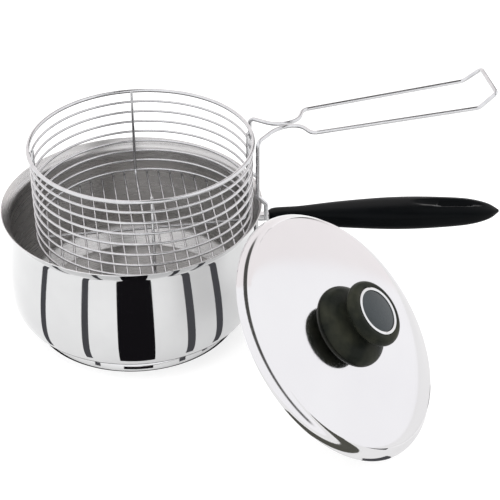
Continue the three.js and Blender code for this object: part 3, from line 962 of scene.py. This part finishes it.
def basket_floor(place):
    """The straight wires, each a little longer than the hoop that carries it."""
    steps = 6
    for count, offset in enumerate(floor_wire_offsets(), start=1):
        node = f"basket_floor_wire_{count:02d}"
        half = math.sqrt(BASKET["ring_radius"] ** 2 - offset ** 2) + BASKET["floor_overshoot"]
        height = middle(node).z
        line = [(offset, half * (2 * k / steps - 1), height) for k in range(steps + 1)]
        shape = swept(line, WIRE["floor"], THIN_WIRE_SIDES)
        wire(node.replace("basket", "wire"), shape, place, node)


# ---------------------------------------------------------------- lid


def lid_place():
    """The lid's own frame: its axis along +Z and the plane of its edge at z = 0."""
    lift = next(joint for joint in frame["joints"] if joint["name"] == "lid_lift")
    axis = Vector(lift["axis"]).normalized()
    washer_height = LID["crown"] - LID["wall"] - GAP - WASHER["thickness"] / 2
    origin = middle("lid_washer") - axis * washer_height
    tilt = Vector((0, 0, 1)).rotation_difference(axis)
    return Matrix.Translation(origin) @ tilt.to_matrix().to_4x4()


def lid_shell(place):
    """The dome: brushed outside, satin inside, with its edge on z = 0."""
    outer = curved([LID["edge"]], LID["curves"])
    inner = [(r, max(z, 0.0)) for r, z in inward(outer, LID["wall"])]
    finishes = brushed_lid(place), satin_steel("satin_lid", place)
    piece = make("lid_dome", turned(outer + inner[::-1]), *finishes, place=place)
    second_finish(piece, TURN_STEPS * (len(outer) - 1))
    fit(piece, "lid", "polished_steel", "lid_shell")


def knob(place):
    """A bell on the lid's crown, a waist, and a round head with an inset."""
    bore, depth, top = KNOB["bore"], KNOB["bore_depth"], KNOB["top"]
    inset, low = KNOB["ring"][0] + GAP, top - KNOB["inlay_depth"]
    profile = curved([(bore, GAP), *KNOB["skirt"]], KNOB["curves"])
    profile += [(inset, top), (inset, low), (0.0, low), (0.0, depth), (bore, depth)]
    piece = make("knob_body", turned(profile, KNOB_STEPS), KNOB_BLACK, place=place)
    fit(piece, "lid", "phenolic", "lid_knob")


def knob_ring(place):
    """The bright ring around the knob's cap, rounded where it stands proud."""
    outer, inner = KNOB["ring"]
    low, high = KNOB["top"] - KNOB["inlay_depth"] + GAP, KNOB["top"] + KNOB["ring_proud"]
    rounding = KNOB["ring_proud"] / 2
    side = high - rounding
    profile = filleted([
        (inner, low, 0), (outer, low, 0),
        (outer, side, rounding), ((outer + inner) / 2, high, 2 * rounding), (inner, side, rounding),
        (inner, low, 0),
    ])
    piece = make("knob_trim", turned(profile, KNOB_STEPS), STEEL, place=place)
    fit(piece, "lid", "polished_steel", "knob_ring")


def knob_cap(place):
    """The lacquered disc inside the ring, with a low dome."""
    radius, top = KNOB["ring"][1] - GAP, KNOB["top"]
    low, (shoulder, crown) = top - KNOB["inlay_depth"] + GAP, KNOB["cap_rise"]
    dome = ((radius * 0.7, top + shoulder), (radius * 0.3, top + crown), (0.0, top + crown), 16)
    profile = curved([(0.0, low), (radius, low), (radius, top - KNOB["cap_edge"])], [dome])
    piece = make("knob_disc", turned(profile, KNOB_STEPS), INLAY, place=place)
    fit(piece, "lid", "knob_inlay", "knob_cap")


def lid():
    """The lid, its knob and the fixings under its crown."""
    place = lid_place()
    crown = place @ Matrix.Translation((0, 0, LID["crown"]))
    lid_shell(place)
    knob(crown)
    knob_ring(crown)
    knob_cap(crown)
    bore, radius, edge = WASHER["bore"], WASHER["radius"], WASHER["edge"]
    top = -LID["wall"] - GAP
    low = top - WASHER["thickness"]
    washer = filleted([(bore, low, 0), (radius, low, edge), (radius, top, edge), (bore, top, 0)])
    piece = make("lid_fixing_washer", turned(washer, segments=96), ZINC, place=crown)
    fit(piece, "lid", "fixings", "lid_washer")
    seat = low - GAP
    under = crown @ Matrix.Translation((0, 0, seat))
    screw("lid_fixing", "lid_screw", under, LID_SCREW, LID_SCREW_END - seat, "lid")


# ---------------------------------------------------------------- studio


def camera():
    """Looks down on the part a little from the left of its front."""
    azimuth, elevation = CAMERA["azimuth"], CAMERA["elevation"]
    flat = math.cos(elevation)
    back = Vector((math.sin(azimuth) * flat, -math.cos(azimuth) * flat, math.sin(elevation)))
    data = bpy.data.cameras.new("camera")
    data.lens = CAMERA["lens"]
    data.sensor_width = 36
    eye = bpy.data.objects.new("camera", data)
    eye.location = CAMERA["target"] + back * CAMERA["distance"]
    eye.rotation_mode = "QUATERNION"
    eye.rotation_quaternion = (-back).to_track_quat("-Z", "Y")
    bpy.context.scene.collection.objects.link(eye)
    bpy.context.scene.camera = eye


def glow(name, color, strength):
    """A light-giving stage material, or a black one at strength 0."""
    material = bpy.data.materials.new(name)
    material.use_nodes = True
    nodes, links = material.node_tree.nodes, material.node_tree.links
    nodes.clear()
    emission = nodes.new("ShaderNodeEmission")
    emission.inputs["Color"].default_value = (*color, 1)
    emission.inputs["Strength"].default_value = strength
    links.new(emission.outputs[0], nodes.new("ShaderNodeOutputMaterial").inputs["Surface"])
    return material


def reflected_only(piece):
    """A studio flag that only mirrors see."""
    piece.visible_camera = False
    piece.visible_diffuse = False
    piece.visible_shadow = False
    piece.visible_transmission = False


def floor():
    """A pale floor that glows a little, so that shadows stay faint."""
    data = bpy.data.materials.new("floor")
    data.use_nodes = True
    shader = data.node_tree.nodes["Principled BSDF"]
    shader.inputs["Base Color"].default_value = FLOOR["color"]
    shader.inputs["Emission Color"].default_value = (1, 1, 1, 1)
    shader.inputs["Emission Strength"].default_value = FLOOR["glow"]
    shader.inputs["Roughness"].default_value = FLOOR["roughness"]
    shader.inputs["Specular IOR Level"].default_value = 0.0
    half, height = FLOOR["half"], FLOOR["height"]
    signs = (-1, -1), (1, -1), (1, 1), (-1, 1)
    corners = [(x * half, y * half, height) for x, y in signs]
    make("floor", (corners, [[0, 1, 2, 3]]), data)


def floor_strip(name, start, end, material):
    """A strip on the floor that the pan's side mirrors as an upright stripe between two angles.

    It fans out at twice the wall's own angle, as the mirror turns.
    """
    eye = bpy.context.scene.camera.location
    facing = math.atan2(eye.y, eye.x)
    root, near, far, steps = STRIP["root"], STRIP["near"], STRIP["far"], STRIP["steps"]
    vertices, faces = [], []
    for i in range(steps + 1):
        out = near - root + (far - near) * i / steps
        for theta in (start, end):
            at, away = facing + math.radians(theta), facing + math.radians(2 * theta)
            vertices.append((
                root * math.cos(at) + out * math.cos(away),
                root * math.sin(at) + out * math.sin(away),
                STRIP["height"],
            ))
    for i in range(steps):
        faces.append([2 * i, 2 * i + 1, 2 * i + 3, 2 * i + 2])
    reflected_only(make(name, (vertices, faces), material))


def floor_ring(name, inner, outer, material, count=128):
    """A flat hoop on the floor around the pan's base that only mirrors see: painted contact shadow,
    which the base's lower edge mirrors as a dark line.
    """
    vertices = []
    for k in range(count):
        angle = 2 * math.pi * k / count
        for radius in (inner, outer):
            vertices.append((radius * math.cos(angle), radius * math.sin(angle), STRIP["height"]))
    total = 2 * count
    faces = [[2 * k, 2 * k + 1, (2 * k + 3) % total, (2 * k + 2) % total] for k in range(count)]
    reflected_only(make(name, (vertices, faces), material))


def flags():
    """The dark strips that the pan's side mirrors, the hoop of painted contact shadow and the patch
    of painted reflection on the floor.
    """
    black = glow("flag_black", (0.02, 0.018, 0.022), 0.5)
    grey = glow("flag_grey", (0.10, 0.10, 0.11), 1.0)
    olive = glow("painted_reflection_olive", (0.13, 0.13, 0.11), 1.0)
    floor_strip("flag_centre", *BLACK_STRIPE, black)
    for name, angles in GREY_STRIPES.items():
        floor_strip(f"flag_{name}", *angles, grey)
    # Painted contact shadow: a black hoop that only mirrors see.
    floor_ring("painted_contact_shadow", *PAINTED_SHADOW_RING, black)
    front = [(x, y, STRIP["height"]) for x, y in PAINTED_REFLECTION_PATCH]
    # Painted reflection: a glowing olive patch that only mirrors see.
    reflected_only(make("painted_reflection_patch", (front, [[0, 1, 2, 3]]), olive))


class Sky:
    """World nodes that build a colour from the direction of a ray."""

    def __init__(self):
        world = bpy.data.worlds.new("world")
        bpy.context.scene.world = world
        world.use_nodes = True
        self.tree = world.node_tree
        self.background = self.tree.nodes["Background"]
        self.ray = self.tree.nodes.new("ShaderNodeTexCoord").outputs["Generated"]

    def share(self, direction, start, end):
        """Goes from 0 to 1 while a ray's part along the direction goes from start to end."""
        along = self.tree.nodes.new("ShaderNodeVectorMath")
        along.operation = "DOT_PRODUCT"
        along.inputs[1].default_value = direction
        self.tree.links.new(self.ray, along.inputs[0])
        node = self.tree.nodes.new("ShaderNodeMapRange")
        node.interpolation_type = "SMOOTHSTEP"
        node.inputs["From Min"].default_value = start
        node.inputs["From Max"].default_value = end
        self.tree.links.new(along.outputs["Value"], node.inputs["Value"])
        return node.outputs["Result"]

    def both(self, *shares):
        """The product of shares."""
        result = shares[0]
        for other in shares[1:]:
            node = self.tree.nodes.new("ShaderNodeMath")
            node.operation = "MULTIPLY"
            self.tree.links.new(result, node.inputs[0])
            self.tree.links.new(other, node.inputs[1])
            result = node.outputs[0]
        return result

    def mix(self, factor, under, over):
        """From one colour to the other as the factor goes from 0 to 1."""
        node = self.tree.nodes.new("ShaderNodeMixRGB")
        self.tree.links.new(factor, node.inputs["Fac"])
        for color, name in ((under, "Color1"), (over, "Color2")):
            if isinstance(color, bpy.types.NodeSocket):
                self.tree.links.new(color, node.inputs[name])
            else:
                node.inputs[name].default_value = (*color, 1)
        return node.outputs[0]


def world():
    """A white room, a little pink behind, with a dark hoop that only mirrors see.

    The hoop is what the lid's shoulder mirrors as a thin dark line.
    """
    sky = Sky()
    room = sky.mix(sky.share(*ROOM["pink_toward"]), ROOM["white"], ROOM["pink"])
    outer = sky.share(ROOM["hoop_axis"], *ROOM["hoop_outer"])
    inner = sky.share(ROOM["hoop_axis"], *ROOM["hoop_inner"])
    above = sky.share(*ROOM["hoop_above"])
    room = sky.mix(sky.both(outer, inner, above), room, ROOM["hoop"])
    path = sky.tree.nodes.new("ShaderNodeLightPath")
    seen = sky.mix(path.outputs["Is Glossy Ray"], (1.0, 1.0, 1.0), room)
    sky.tree.links.new(seen, sky.background.inputs["Color"])
    sky.background.inputs["Strength"].default_value = ROOM["light"]


def softbox(name, location, target, size, power):
    """A soft rectangular light that mirrors don't see."""
    data = bpy.data.lights.new(name, "AREA")
    data.shape = "RECTANGLE"
    data.size, data.size_y = size
    data.energy = power
    light = bpy.data.objects.new(name, data)
    light.location = location
    light.rotation_mode = "QUATERNION"
    light.rotation_quaternion = (Vector(target) - Vector(location)).to_track_quat("-Z", "Y")
    light.visible_glossy = False
    bpy.context.scene.collection.objects.link(light)


def studio():
    """Everything around the part."""
    floor()
    world()
    flags()
    softbox(
        "softbox_top", location=(-0.3, -0.2, 1.5), target=(0.05, 0, 0.05), size=(1.0, 0.8), power=6,
    )
    bpy.context.scene.view_settings.view_transform = "Standard"


# ---------------------------------------------------------------- assembly

STEEL = polished_steel()
SATIN = satin_steel("satin_steel")
WIRE_METAL = plated_wire()
WELD = weld_metal()
ALUMINIUM = aluminium()
ZINC = zinc()
HANDLE_BLACK = phenolic(
    "phenolic_black", color=(0.0010, 0.0014, 0.0018), dust=(0.0018, 0.0024, 0.003),
    roughness=(0.28, 0.38), specular=0.045,
)
KNOB_BLACK = phenolic(
    "phenolic_knob", color=(0.0095, 0.0110, 0.0090), dust=(0.032, 0.033, 0.0235),
    roughness=(0.26, 0.36), specular=0.035,
)
INLAY = phenolic(
    "knob_lacquer", color=(0.009, 0.0145, 0.017), dust=(0.016, 0.0225, 0.026),
    roughness=(0.16, 0.24), specular=0.33,
)

camera()
pan()
basket()
lid()
studio()
